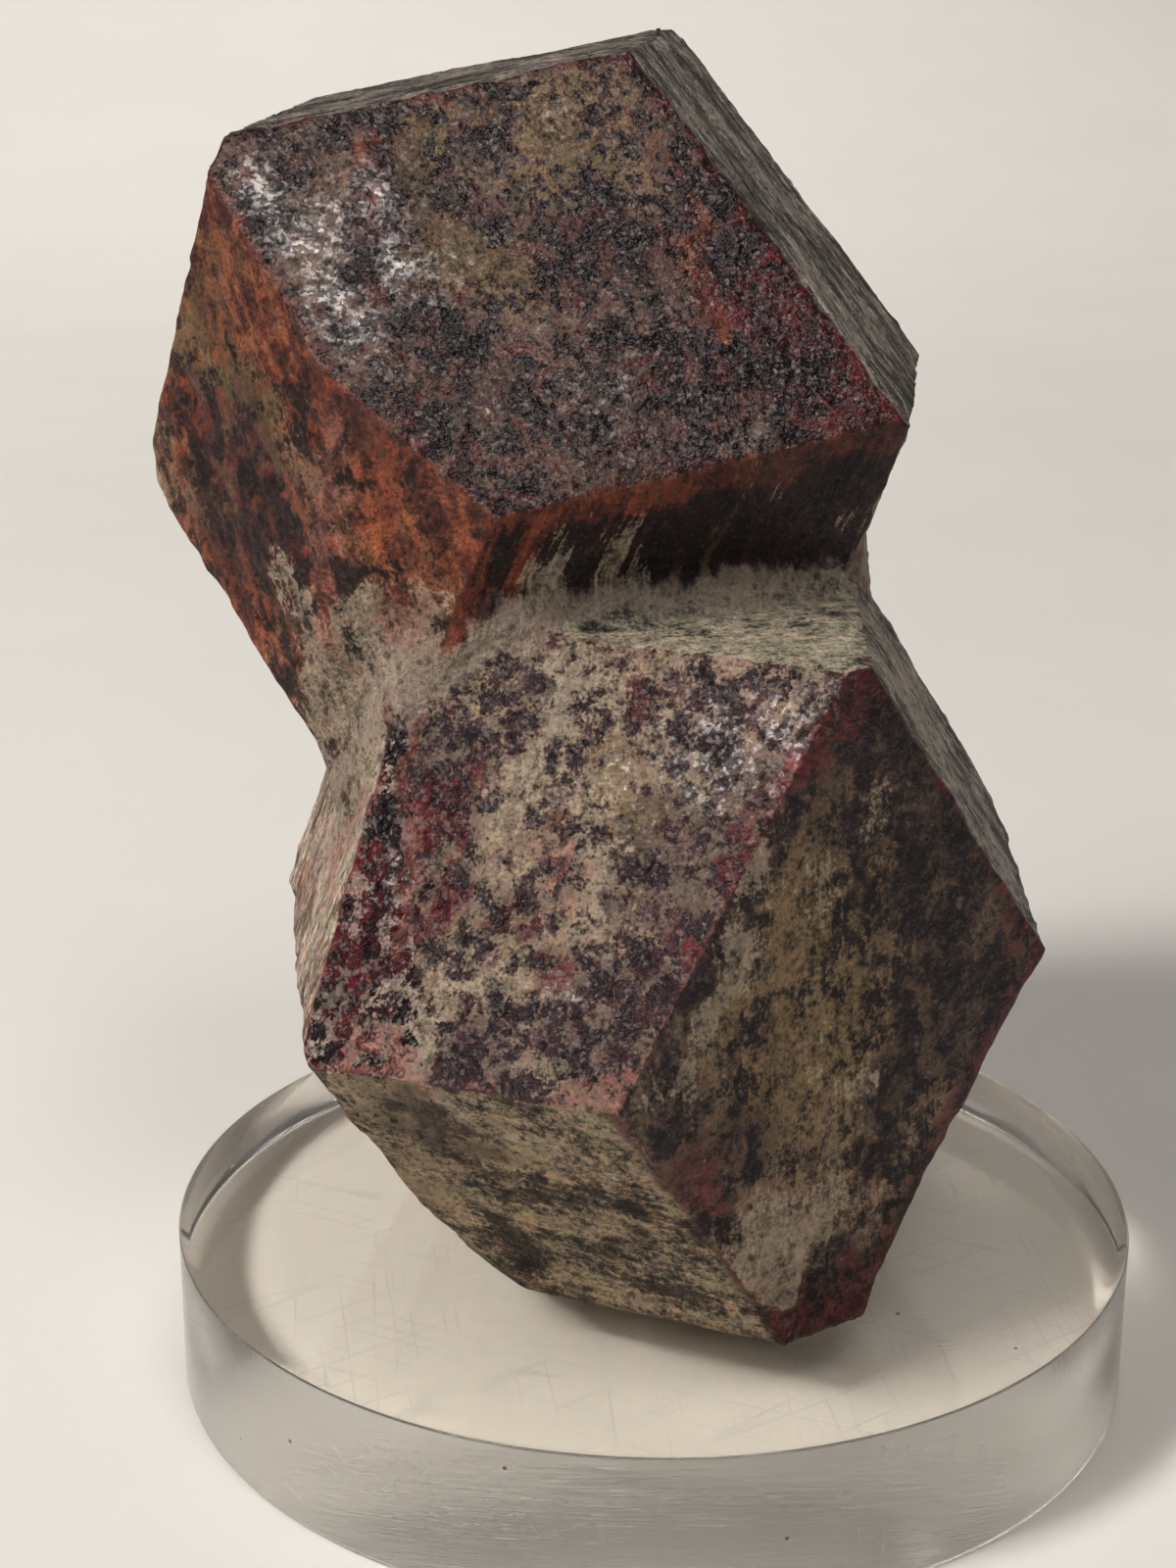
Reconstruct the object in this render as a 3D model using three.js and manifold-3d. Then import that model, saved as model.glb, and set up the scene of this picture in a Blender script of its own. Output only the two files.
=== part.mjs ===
// Garnet crystal on a clear display disc: two rhombic dodecahedra grown into each other.
// Millimetres, +Z up. The origin is the centre of the disc's underside, and the front is -Y.
import * as THREE from 'three';
import { ConvexGeometry } from 'three/addons/geometries/ConvexGeometry.js';
import { mergeVertices } from 'three/addons/utils/BufferGeometryUtils.js';
import Module from 'manifold-3d';

const wasm = await Module();
wasm.setup();

// Display disc, cut from acrylic sheet and turned to size.
const DISC_DIAMETER = 76.2;
const DISC_THICKNESS = 12.4;
const DISC_CHAMFER = 0.5;
const DISC_SEGMENTS = 120;
const RESTING_GAP = 0.3;

// The stone's foot face lies this high, and FOOT_DISTANCE below the lower crystal's centre.
const FOOT_HEIGHT = DISC_THICKNESS + RESTING_GAP;
const FOOT_DISTANCE = 25.4;

// Each crystal is an ideal rhombic dodecahedron: its 12 faces stand square to the 12 axes that
// run between two crystal axes, all at faceDistance from the centre. attitude turns it about
// the upright Z, tips it about X and turns it about its own c axis, in degrees. Growth moved some
// faces out or in by `out` and turned them round the upright by `turn` and up by `rise` degrees.
// An axis that is named twice carries two flatter facets that meet in a low ridge.
const LOWER_CRYSTAL = {
  centre: [-0.5, -0.3, FOOT_HEIGHT + FOOT_DISTANCE],
  attitude: [36, 135, 90],
  faceDistance: 25.6,
  faces: {
    front: { axis: [1, 1, 0], out: -0.9, turn: -4 },
    frontLeft: { axis: [1, 1, 0], turn: -11, rise: -2 },
    top: { axis: [1, 0, -1], out: -0.2 },
    left: { axis: [0, 1, -1], out: 0.2, turn: 9, rise: -11 },
    right: { axis: [1, 0, 1], out: -0.7 },
    lowerFront: { axis: [0, 1, 1], out: 2.5, turn: -3 },
    upperRight: { axis: [1, -1, 0], out: 0.9, turn: -2 },
    upperBack: { axis: [0, -1, -1] },
    lowerRight: { axis: [0, -1, 1], turn: 4 },
    foot: { axis: [-1, 0, 1], out: -0.2 },
    lowerLeft: { axis: [-1, 1, 0], out: 0.2, turn: 7 },
    lowerBack: { axis: [-1, -1, 0] },
    backLeft: { axis: [-1, 0, -1] },
  },
};

const UPPER_CRYSTAL = {
  centre: [-10.3, 17.5, 72.3],
  attitude: [153, 40, 76],
  faceDistance: 27.5,
  faces: {
    front: { axis: [1, 1, 0], out: -1.8, turn: 5, rise: 2 },
    leftOuter: { axis: [1, 0, -1], out: 1.8, turn: -9 },
    leftInner: { axis: [1, 0, -1], out: 3.3, turn: 14, rise: -3 },
    lowerFront: { axis: [0, 1, -1], out: -1.2, turn: 4, rise: -1 },
    top: { axis: [1, 0, 1], out: 0.6 },
    upperRight: { axis: [0, 1, 1], out: -1, turn: -5 },
    upperLeft: { axis: [1, -1, 0], out: -0.2 },
    lowerLeft: { axis: [0, -1, -1], out: -3.1, rise: 2 },
    upperBack: { axis: [0, -1, 1] },
    back: { axis: [-1, 0, 1] },
    lowerRight: { axis: [-1, 1, 0], out: 0.5, turn: -4 },
    lowerBack: { axis: [-1, -1, 0] },
    bottom: { axis: [-1, 0, -1] },
  },
};

// Chlorite crust: it reaches this far up both crystals from the notch where they meet.
const CRUST_REACH = 2.6;

// Lost corners. Each broke off along one plane, `depth` in from the tip where its three faces
// would meet, and the plane faces out between them, leaning to each by its share in `lean`.
const FOOT_CHIP = {
  crystal: LOWER_CRYSTAL,
  faces: ['lowerFront', 'lowerLeft', 'foot'],
  lean: [1, 1.1, 0.6],
  depth: 1.7,
};
const WORN_LEFT_TIP = {
  crystal: UPPER_CRYSTAL,
  faces: ['leftOuter', 'upperLeft', 'lowerLeft'],
  lean: [1, 1, 1],
  depth: 1.2,
};
const WORN_TOP_TIP = {
  crystal: UPPER_CRYSTAL,
  faces: ['top', 'upperRight', 'upperBack'],
  lean: [1, 1, 1],
  depth: 1.2,
};
const LOST_CORNERS = [FOOT_CHIP, WORN_LEFT_TIP, WORN_TOP_TIP];

// A crystal is sawn from a rough cube, centred on the disc's underside, that is wider than the
// stone. The sawing block is wider still, so one block takes off all beyond a face.
const ROUGH_CUBE = 260;
const SAW_BLOCK = 600;

const UP = new THREE.Vector3(0, 0, 1);

function solidFrom(geometry) {
  const bare = geometry.clone();
  bare.deleteAttribute('normal');
  bare.deleteAttribute('uv');
  const merged = mergeVertices(bare, 1e-5);
  return new wasm.Manifold(new wasm.Mesh({
    numProp: 3,
    vertProperties: new Float32Array(merged.attributes.position.array),
    triVerts: new Uint32Array(merged.index.array),
  }));
}

function geometryFrom(solid) {
  const mesh = solid.getMesh();
  const geometry = new THREE.BufferGeometry();
  geometry.setAttribute('position', new THREE.BufferAttribute(mesh.vertProperties, 3));
  geometry.setIndex(new THREE.BufferAttribute(mesh.triVerts, 1));
  geometry.computeVertexNormals();
  return geometry;
}

function cornersOf(solid) {
  const { vertProperties } = solid.getMesh();
  const corners = [];
  for (let i = 0; i < vertProperties.length; i += 3) {
    corners.push(new THREE.Vector3().fromArray(vertProperties, i));
  }
  return corners;
}

// A plane is a unit normal that points out of the stone, and how far it lies along it.
function facePlane(crystal, name) {
  const { axis, out = 0, turn = 0, rise = 0 } = crystal.faces[name];
  const [turned, tipped, spun] = crystal.attitude.map(THREE.MathUtils.degToRad);
  const attitude = new THREE.Matrix4().makeRotationZ(turned)
    .multiply(new THREE.Matrix4().makeRotationX(tipped))
    .multiply(new THREE.Matrix4().makeRotationZ(spun));
  const ideal = new THREE.Vector3(...axis).normalize().applyMatrix4(attitude);
  const heading = Math.atan2(ideal.y, ideal.x) + THREE.MathUtils.degToRad(turn);
  const height = Math.asin(THREE.MathUtils.clamp(ideal.z, -1, 1)) + THREE.MathUtils.degToRad(rise);
  const normal = new THREE.Vector3(
    Math.cos(height) * Math.cos(heading),
    Math.cos(height) * Math.sin(heading),
    Math.sin(height),
  );
  const distance = normal.dot(new THREE.Vector3(...crystal.centre)) + crystal.faceDistance + out;
  return { normal, distance };
}

// The block that holds everything beyond a plane.
function sawBlock({ normal, distance }) {
  const block = new THREE.BoxGeometry(SAW_BLOCK, SAW_BLOCK, SAW_BLOCK);
  block.translate(0, 0, SAW_BLOCK / 2);
  block.applyQuaternion(new THREE.Quaternion().setFromUnitVectors(UP, normal));
  block.translate(...normal.clone().multiplyScalar(distance).toArray());
  return solidFrom(block);
}

// A crystal, with all its faces moved out by `grown`.
function crystalSolid(crystal, grown = 0) {
  const rough = new THREE.BoxGeometry(ROUGH_CUBE, ROUGH_CUBE, ROUGH_CUBE);
  return Object.keys(crystal.faces).reduce((stone, name) => {
    const plane = facePlane(crystal, name);
    return stone.subtract(sawBlock({ ...plane, distance: plane.distance + grown }));
  }, solidFrom(rough));
}

// The crust bridges the notch: it spans what lies within its reach of the notch on both crystals.
function crustSolid(lower, upper) {
  const onLower = lower.intersect(crystalSolid(UPPER_CRYSTAL, CRUST_REACH));
  const onUpper = upper.intersect(crystalSolid(LOWER_CRYSTAL, CRUST_REACH));
  return solidFrom(new ConvexGeometry([...cornersOf(onLower), ...cornersOf(onUpper)]));
}

// The point where three planes meet.
function meetingPoint(planes) {
  const rows = planes.flatMap(({ normal }) => normal.toArray());
  const distances = new THREE.Vector3(...planes.map(({ distance }) => distance));
  return distances.applyMatrix3(new THREE.Matrix3().set(...rows).invert());
}

function lostCorner({ crystal, faces, lean, depth }) {
  const planes = faces.map((name) => facePlane(crystal, name));
  const normal = new THREE.Vector3();
  planes.forEach((plane, i) => normal.addScaledVector(plane.normal, lean[i]));
  normal.normalize();
  return sawBlock({ normal, distance: normal.dot(meetingPoint(planes)) - depth });
}

function garnetCrystal() {
  const lower = crystalSolid(LOWER_CRYSTAL);
  const upper = crystalSolid(UPPER_CRYSTAL);
  const whole = lower.add(upper).add(crustSolid(lower, upper));
  const stone = LOST_CORNERS.reduce((left, corner) => left.subtract(lostCorner(corner)), whole);
  const material = new THREE.MeshStandardMaterial({
    color: 0x4a3230,
    roughness: 0.55,
    metalness: 0,
    flatShading: true,
  });
  const mesh = new THREE.Mesh(geometryFrom(stone), material);
  mesh.name = 'garnet_crystal';
  return mesh;
}

function displayDisc() {
  const radius = DISC_DIAMETER / 2;
  const profile = [
    [0, 0],
    [radius - DISC_CHAMFER, 0],
    [radius, DISC_CHAMFER],
    [radius, DISC_THICKNESS - DISC_CHAMFER],
    [radius - DISC_CHAMFER, DISC_THICKNESS],
    [0, DISC_THICKNESS],
  ].map(([r, z]) => new THREE.Vector2(r, z));
  const geometry = new THREE.LatheGeometry(profile, DISC_SEGMENTS);
  geometry.rotateX(Math.PI / 2);
  const material = new THREE.MeshStandardMaterial({
    color: 0xe6e4de,
    roughness: 0.08,
    metalness: 0,
    transparent: true,
    opacity: 0.35,
  });
  const mesh = new THREE.Mesh(geometry, material);
  mesh.name = 'display_disc';
  return mesh;
}

const specimen = new THREE.Group();
specimen.name = 'garnet_specimen';
specimen.add(garnetCrystal(), displayDisc());

export default specimen;
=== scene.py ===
"""Garnet crystal on a clear display disc: the looks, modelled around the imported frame.

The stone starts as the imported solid. Its worn edges, pits, growth lines and chlorite crust are modelled
on it, and its minerals are coloured by procedural nodes. Metres, +Z up, the front faces -Y.
"""

import math

import bmesh
import bpy
import numpy as np
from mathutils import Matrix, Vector, noise


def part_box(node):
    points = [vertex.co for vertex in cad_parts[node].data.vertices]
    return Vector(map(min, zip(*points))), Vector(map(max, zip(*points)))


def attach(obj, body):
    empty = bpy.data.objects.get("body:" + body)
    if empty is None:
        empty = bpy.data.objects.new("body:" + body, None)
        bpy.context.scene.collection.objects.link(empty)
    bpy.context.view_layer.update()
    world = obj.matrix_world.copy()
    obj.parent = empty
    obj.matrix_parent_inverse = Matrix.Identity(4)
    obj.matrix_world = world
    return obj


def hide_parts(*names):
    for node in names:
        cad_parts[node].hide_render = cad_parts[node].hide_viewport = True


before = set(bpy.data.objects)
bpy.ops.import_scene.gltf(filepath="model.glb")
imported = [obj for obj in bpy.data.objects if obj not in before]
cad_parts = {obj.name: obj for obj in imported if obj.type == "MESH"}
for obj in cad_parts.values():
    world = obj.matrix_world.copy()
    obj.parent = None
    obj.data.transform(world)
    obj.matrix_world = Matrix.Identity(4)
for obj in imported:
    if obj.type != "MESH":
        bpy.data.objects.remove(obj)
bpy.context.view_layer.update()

bl_info = {
    "name": "Garnet crystal on a disc",
    "version": (1, 0, 0),
    "blender": (4, 5, 0),
    "location": "3D View > Sidebar > Garnet",
    "description": "Models a garnet crystal group on its clear acrylic display disc",
    "category": "Add Mesh",
}

MM = 0.001
STONE_NODE = "garnet_crystal"
DISC_NODE = "display_disc"
BODY = "root"


def srgb(red, green, blue):
    """A colour given as 0 to 255 screen values, in linear light."""
    linear = []
    for channel in (red, green, blue):
        value = channel / 255
        linear.append(value / 12.92 if value <= 0.04045 else ((value + 0.055) / 1.055) ** 2.4)
    return (*linear, 1.0)


# ---------------------------------------------------------------------------------------------------
# What each face of the stone is like
# ---------------------------------------------------------------------------------------------------

# A face's habit: the colours of its bare garnet, of the thin coat of chlorite and mica on it and of its
# third mineral, and then, each from 0 to 1, how much of it the coat covers, how coarse and how grainy
# it is, how much its marks follow the growth lines, its gloss, and how deep its pits and lines are.
HABITS = {
    "glittering": dict(garnet=(35, 21, 27), coat=(92, 73, 62), third=(86, 44, 40), cover=0.44,
                       coarse=0.35, grainy=0.1, lined=0.3, gloss=0.9, pits=0.4, ridges=0.15),
    "rusty": dict(garnet=(52, 29, 27), coat=(108, 82, 62), third=(132, 60, 38), cover=0.44, coarse=0.7,
                  grainy=0.05, lined=0.45, gloss=0.2, pits=0.9, ridges=0.5),
    "shaded": dict(garnet=(30, 12, 12), coat=(76, 64, 54), third=(44, 21, 18), cover=0.1, coarse=0.4,
                   grainy=0.0, lined=0.95, gloss=0.2, pits=0.1, ridges=0.3),
    "lined": dict(garnet=(52, 45, 41), coat=(112, 104, 96), third=(76, 67, 61), cover=0.5, coarse=0.2,
                  grainy=0.0, lined=1.0, gloss=0.1, pits=0.15, ridges=0.8),
    "brushed": dict(garnet=(76, 66, 60), coat=(146, 137, 127), third=(96, 86, 79), cover=0.55, coarse=0.2,
                    grainy=0.0, lined=1.0, gloss=0.1, pits=0.15, ridges=0.8),
    "speckled": dict(garnet=(54, 34, 39), coat=(132, 112, 94), third=(80, 46, 46), cover=0.5, coarse=0.6,
                     grainy=0.6, lined=0.05, gloss=0.8, pits=0.8, ridges=0.0),
    "glassy": dict(garnet=(24, 13, 19), coat=(150, 130, 118), third=(74, 18, 25), cover=0.36, coarse=0.5,
                   grainy=1.0, lined=0.1, gloss=1.0, pits=1.0, ridges=0.0),
    "mottled": dict(garnet=(40, 25, 30), coat=(122, 102, 82), third=(88, 68, 50), cover=0.48, coarse=0.45,
                    grainy=0.1, lined=0.45, gloss=0.25, pits=0.3, ridges=0.3),
    "weathered": dict(garnet=(56, 37, 37), coat=(112, 92, 74), third=(92, 60, 46), cover=0.5, coarse=0.5,
                      grainy=0.2, lined=0.4, gloss=0.3, pits=0.5, ridges=0.3),
    "earthy": dict(garnet=(72, 58, 50), coat=(138, 121, 99), third=(92, 74, 54), cover=0.58, coarse=0.5,
                   grainy=0.1, lined=0.5, gloss=0.2, pits=0.4, ridges=0.25),
    "pale": dict(garnet=(66, 56, 48), coat=(150, 140, 120), third=(118, 106, 88), cover=0.75, coarse=0.4,
                 grainy=0.0, lined=0.6, gloss=0.1, pits=0.25, ridges=0.3),
    "fibrous": dict(garnet=(122, 92, 78), coat=(164, 147, 128), third=(146, 116, 98), cover=0.6,
                    coarse=0.4, grainy=0.0, lined=0.9, gloss=0.1, pits=0.3, ridges=0.5),
}

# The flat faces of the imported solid: the way each looks out (its heading round the upright from +X and
# its rise, in degrees), its habit, and the way its growth lines run.
FACETS = {
    "upper_front": (-74, 35, "glittering", (0.6, -0.3, -0.7)),
    "upper_left_outer": (-136, -6, "rusty", (0.2, -0.2, -1.0)),
    "upper_left_inner": (-113, -9, "rusty", (0.3, 0.0, -1.0)),
    "upper_under": (-63, -27, "shaded", (-0.3, 0.1, -1.0)),
    "upper_top": (176, 79, "lined", (1.0, 0.45, 0.2)),
    "upper_right": (-7, 41, "brushed", (0.65, -0.4, -0.7)),
    "upper_left": (178, 19, "weathered", (0.0, 0.4, -1.0)),
    "upper_lower_left": (178, -39, "earthy", (0.3, 0.3, -0.6)),
    "upper_upper_back": (113, 26, "weathered", (0.8, 0.3, -0.5)),
    "upper_back": (53, 6, "glittering", (0.3, -0.3, -1.0)),
    "upper_lower_right": (-6, -19, "weathered", (0.0, 0.5, -0.9)),
    "upper_lower_back": (101, -33, "earthy", (0.9, 0.2, 0.3)),
    "lower_front": (-113, 30, "speckled", (-0.4, -0.5, -0.8)),
    "lower_front_left": (-120, 28, "glassy", (-0.1, -0.4, -0.9)),
    "lower_top": (0, 90, "pale", (1.0, 0.35, 0.0)),
    "lower_left": (-170, 19, "fibrous", (-0.2, 0.2, -1.0)),
    "lower_right": (-54, 0, "mottled", (0.1, 0.0, -1.0)),
    "lower_under": (-112, -30, "earthy", (1.0, -0.3, -0.1)),
    "lower_upper_right": (-1, 30, "brushed", (0.5, 0.6, -0.6)),
    "lower_upper_back": (71, 30, "speckled", (0.4, 0.5, -0.8)),
    "lower_lower_right": (5, -30, "weathered", (0.1, 0.8, -0.4)),
    "lower_foot": (0, -90, "earthy", (1.0, 0.0, 0.0)),
    "lower_lower_left": (-172, -30, "earthy", (0.1, 0.8, -0.4)),
    "lower_lower_back": (71, -30, "earthy", (0.8, -0.4, 0.3)),
    "lower_back_left": (126, 0, "weathered", (0.0, 0.1, -1.0)),
}
CRYSTALS = ("upper", "lower")

# Narrow bands of another mineral along a face's border, a few of which also paint a glow or a highlight:
# on this face, beside that one, the mineral, how wide in millimetres, and how strong.
RIMS = (
    ("lower_front", "lower_right", "rose_and_highlight", 1.0, 0.5),
    ("lower_front", "lower_under", "rose_and_highlight", 1.5, 0.52),
    ("lower_front_left", "lower_under", "rose_and_highlight", 2.0, 0.55),
    ("lower_front_left", "lower_left", "rose_and_highlight", 0.8, 0.7),
    ("lower_under", "lower_right", "ruby", 1.6, 0.6),
    ("lower_right", "lower_foot", "ruby", 2.6, 0.85),
    ("lower_right", "lower_lower_right", "ruby", 2.6, 0.8),
    ("lower_right", "lower_upper_right", "ruby", 1.6, 0.7),
    ("lower_right", "lower_front", "dark", 2.6, 0.9),
    # Rust on both sides of the upper crystal's front edges, partly a painted red glow where light shines
    # through the garnet's edges.
    ("upper_under", "upper_front", "rust_and_glow", 2.6, 0.95),
    ("upper_under", "upper_left_inner", "rust_and_glow", 2.6, 0.8),
    ("upper_front", "upper_under", "rust_and_glow", 0.7, 0.6),
    ("upper_left_outer", "upper_front", "rust_and_glow", 4.0, 1.0),
    ("upper_left_inner", "upper_front", "rust_and_glow", 2.8, 0.9),
    # A painted highlight: the bright line along the upper front face's left edge, in rose.
    ("upper_front", "upper_left_outer", "rose_and_highlight", 0.8, 1.6),
    ("upper_front", "upper_left_inner", "rose_and_highlight", 0.6, 1.3),
    ("upper_front", "upper_top", "ruby", 1.0, 0.7),
    ("upper_front", "upper_right", "ruby", 2.0, 0.7),
    ("upper_lower_right", "upper_right", "ruby", 2.5, 0.7),
)

# Patches of each mineral: where, how far they reach in millimetres, and how strong.
PATCHES = {
    "rust_and_glow": (
        ((-32, -5, 91), 7, 1.0), ((-31, -6, 86), 3, 0.8), ((-27, -9, 84), 4, 1.0),
        ((-30, -4, 62), 3, 0.5), ((-17, -13, 70), 5, 0.85), ((-14, -14, 72), 4, 0.8),
        ((-20, -13, 75), 4, 0.75), ((-21, -2, 95), 2.0, 0.75), ((-20, -3, 92), 1.6, 0.7),
        ((15, -4, 78), 4, 0.7), ((-33, 0, 61), 5, 0.8), ((-30, -2, 57), 5, 0.85), ((-9, -13, 71), 3, 0.7),
        ((1, 5, 95), 4, 0.5), ((-36, 6, 78), 7, 0.6), ((-20, 40, 92), 6, 0.6), ((16, 34, 70), 7, 0.6),
        ((-17, 18, 30), 6, 0.5), ((-26, 24, 52), 6, 0.6), ((27, -11, 40), 3, 0.6),
        ((-7, -21, 52), 1.6, 0.7), ((-35, -1, 86), 4, 0.9),
    ),
    "gold": (
        ((-8, -11, 66), 2.2, 0.45), ((-2, -8, 67), 2.2, 0.45), ((4, -6, 67), 2.2, 0.4),
        ((-15, -5, 89), 2.2, 1.1), ((-11, -4, 87), 1.8, 1.0), ((-7, 4, 97), 4.5, 0.75),
        ((-4, 3, 94), 3.5, 0.6), ((-3, -18, 57), 3, 0.6), ((12, -22, 46), 6, 0.75),
        ((14, -20, 37), 7, 0.7), ((9, -24, 36), 5, 0.8), ((-2, -21, 52), 3, 0.6), ((-26, -9, 80), 3, 0.5),
        ((-31, -6, 89), 3, 0.65), ((-17, -13, 69), 3, 0.8), ((-33, -3, 83), 4, 1.0),
        ((-28, -7, 79), 3, 0.8), ((-20, -12, 67), 3, 0.7), ((16, -18, 48), 4, 0.6),
        ((-12, -20, 30), 5, 0.5), ((-34, 20, 60), 8, 0.5), ((-10, 42, 54), 7, 0.5),
        ((16, 12, 62), 6, 0.5), ((24, 2, 30), 6, 0.5),
    ),
    "pale": (
        ((8, -25, 20), 2.6, 1.3), ((12.5, -21.5, 23), 1.7, 1.2), ((3.5, -27.5, 40), 1.2, 1.2),
        ((2, -28.5, 36), 1.3, 1.1), ((5.5, -26.5, 44), 1.6, 0.9), ((7, -25.5, 50), 2.2, 0.7),
        ((12, -21, 47), 2.4, 0.7), ((15, -19, 52), 2.0, 0.6), ((-6, -22, 50), 4.0, 0.5),
        ((-8, -18, 54), 4, 0.5), ((-13, -24, 41), 3.0, 0.5), ((-8, -11, 65.5), 2.0, 1.0),
        ((-2, -9, 65.5), 2.2, 1.0), ((4, -7, 65.5), 2.2, 0.9), ((-21, -10, 62), 4.0, 0.9),
        ((-23, -8, 56), 5, 1.0), ((-18, -12, 60), 4, 0.9), ((2, -9, 64), 9, 0.7), ((19, 3, 57), 6, 0.6),
        ((-23, -9, 52), 5, 0.9), ((-5, -16, 60), 4, 0.6), ((-16, -24, 38), 3, 0.6),
        ((14, -19, 33), 3, 0.5), ((-26, -7, 64), 3, 0.7), ((-19, 42, 78), 7, 0.5), ((10, 16, 28), 6, 0.5),
    ),
    "rose_and_highlight": (
        ((-24, -11, 75), 1.6, 0.9), ((-24, -11, 72.5), 1.5, 0.85), ((-24, -10, 70), 1.6, 0.8),
        ((-24, -9, 66), 2.2, 0.8), ((-18, -11, 63), 2.2, 0.85), ((-24, -8, 61), 2.4, 0.6),
        ((-24, -9, 48), 4, 0.7), ((-28, 1, 39), 4, 0.6), ((-7, -22, 49), 2, 0.7),
        ((26, -9, 36), 2.5, 0.7), ((-3, -29.5, 36), 2.4, 0.8), ((-12, -25, 34), 2.0, 0.85),
        ((-18, -24, 36), 1.8, 0.65),
    ),
    "ruby": (
        ((-16, -17, 50), 3.0, 1.0), ((-16, -20, 45), 3.0, 1.0), ((-10, -22, 46), 2.2, 0.9),
        ((3, -28, 46), 3.4, 0.7), ((-7, -25, 43), 2, 0.8), ((-1, -17, 60), 1.6, 0.9),
        ((-22, -17, 46), 4, 0.8), ((-22, -19, 42), 4, 0.75), ((-20, -24, 36.5), 3, 0.9),
        ((10, -24, 14), 3, 1.0), ((16, -19, 14), 3, 1.0), ((14, -21, 62), 3, 1.0),
        ((11, -23, 59), 2.4, 0.95), ((7, -25, 52), 2.0, 0.8), ((9, 0, 85), 9, 0.55),
        ((13, -3, 80), 6, 0.6), ((-27, -6, 64), 4, 0.6), ((-34, -4, 92), 2.5, 0.9),
        ((0, -24, 42), 2.4, 0.7), ((-13, -16, 54), 1.8, 0.7), ((6, 3, 91), 5, 0.5),
        ((-18, 3, 99), 2.5, 0.7), ((4, -28, 27), 3, 0.7), ((0, 39, 66), 6, 0.7), ((-38, 18, 88), 5, 0.6),
        ((18, 20, 40), 4, 0.8), ((22, 14, 26), 4, 0.7), ((-12, 24, 40), 5, 0.7),
    ),
    "polish": (
        ((-28, -5, 93), 2.0, 0.9), ((-25, -6, 90), 2.2, 1.0), ((-20, -3, 92), 2.0, 0.8),
        ((-18, -6, 88), 2.0, 0.8), ((-23, -9, 85), 2.4, 0.9), ((-8, 5, 98), 2.0, 0.5),
        ((-20, -11, 80), 2.0, 0.5), ((-4, -8, 79), 3.0, 0.4), ((10, -8, 76), 3.0, 0.5),
        ((4, -21, 58), 3.2, 1.0), ((8, -22, 59), 3.0, 1.0), ((-3, -20, 56), 2.4, 0.6),
        ((12, -21, 61), 2.0, 0.9), ((-20, -18, 46), 2.5, 0.8), ((-6, -26, 42), 2.0, 0.7),
        ((-12, -24, 39), 1.5, 0.7), ((6, 39, 80), 6.0, 0.6), ((14, 22, 47), 4.0, 0.6),
    ),
    "dark": (
        ((-15, -15, 54), 3.2, 1.0), ((-4, -28, 40), 3.4, 0.9), ((1, -24, 50), 4, 0.75),
        ((-8, -15, 60), 3, 0.6), ((-13, -27, 37), 3, 0.8), ((-20, -16, 49), 2.4, 0.8),
        ((-21, -22, 39), 3.4, 0.9), ((7, -25, 53), 4, 0.8), ((18, -18, 31), 3, 0.9),
        ((13, -21, 16), 2.6, 0.9), ((24, -13, 37), 6, 0.8), ((-3, -1, 89), 4, 0.6),
        ((13, -6, 64), 2.2, 1.0), ((-16, -24, 30), 4, 0.6), ((-29, -5, 67), 4, 0.75),
        ((-21, -13, 78), 2.4, 0.9), ((-31, -3, 71), 5, 0.85), ((-30, -5, 77), 3, 0.7),
        ((15, -20, 45), 3, 0.5), ((20, -16, 50), 5, 0.75), ((10, -2, 74), 9, 0.75),
        ((-18, -2, 94), 2.5, 0.8), ((-18, -3, 90), 3, 0.6), ((2, -29, 33), 2.6, 0.8),
        ((15, -20, 56), 5, 0.85), ((7, -26, 30), 3, 0.6), ((-1, -28, 43), 3, 0.7), ((-34, 0, 76), 3, 0.7),
        ((12, -3, 80), 5, 0.8), ((16, -6, 76), 4, 0.8), ((7, 0, 88), 4, 0.7), ((-2, -8, 76), 5, 0.6),
        ((-12, -9, 78), 4, 0.5), ((-14, -2, 90), 2.5, 0.6),
    ),
}

# Thin seams of a mineral: the face they cross, the places they run through, how far they reach to each
# side, and how strong they are.
SEAMS = (
    ("lower_front", "rose_and_highlight",
     ((-17.5, -13.5, 57), (-18.5, -15.5, 51), (-18.8, -18, 47), (-17.5, -20.5, 42)), 0.4, 2.0),
    ("lower_front", "rose_and_highlight", ((5, -27, 47), (2, -29, 41), (-1, -31, 35)), 0.8, 2.0),
    ("lower_front", "ruby", ((14, -21, 62), (10, -23.5, 57), (6, -26, 50)), 1.3, 1.1),
    ("lower_right", "ruby", ((14, -21, 62), (10, -23.5, 57)), 1.0, 1.0),
    ("upper_left_outer", "rose_and_highlight", ((-24.5, -11, 76), (-24.5, -10.5, 71), (-24.5, -9.5, 65)), 0.8, 1.1),
    ("upper_front", "gold", ((-18, 4, 100), (-17, -3, 91), (-12, -5, 87)), 1.6, 0.7),
    ("upper_front", "rust_and_glow", ((1, 5, 95), (3, 0, 88), (5, -3, 82)), 2.0, 0.6),
    ("upper_front", "dark", ((4, 2, 92), (8, -3, 84), (12, -5, 78)), 2.0, 0.6),
    ("lower_under", "pale", ((-14, -24.5, 34), (-9, -27, 30), (-3, -28.5, 29)), 0.6, 0.8),
)


# ---------------------------------------------------------------------------------------------------
# Shader maths
# ---------------------------------------------------------------------------------------------------


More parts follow.
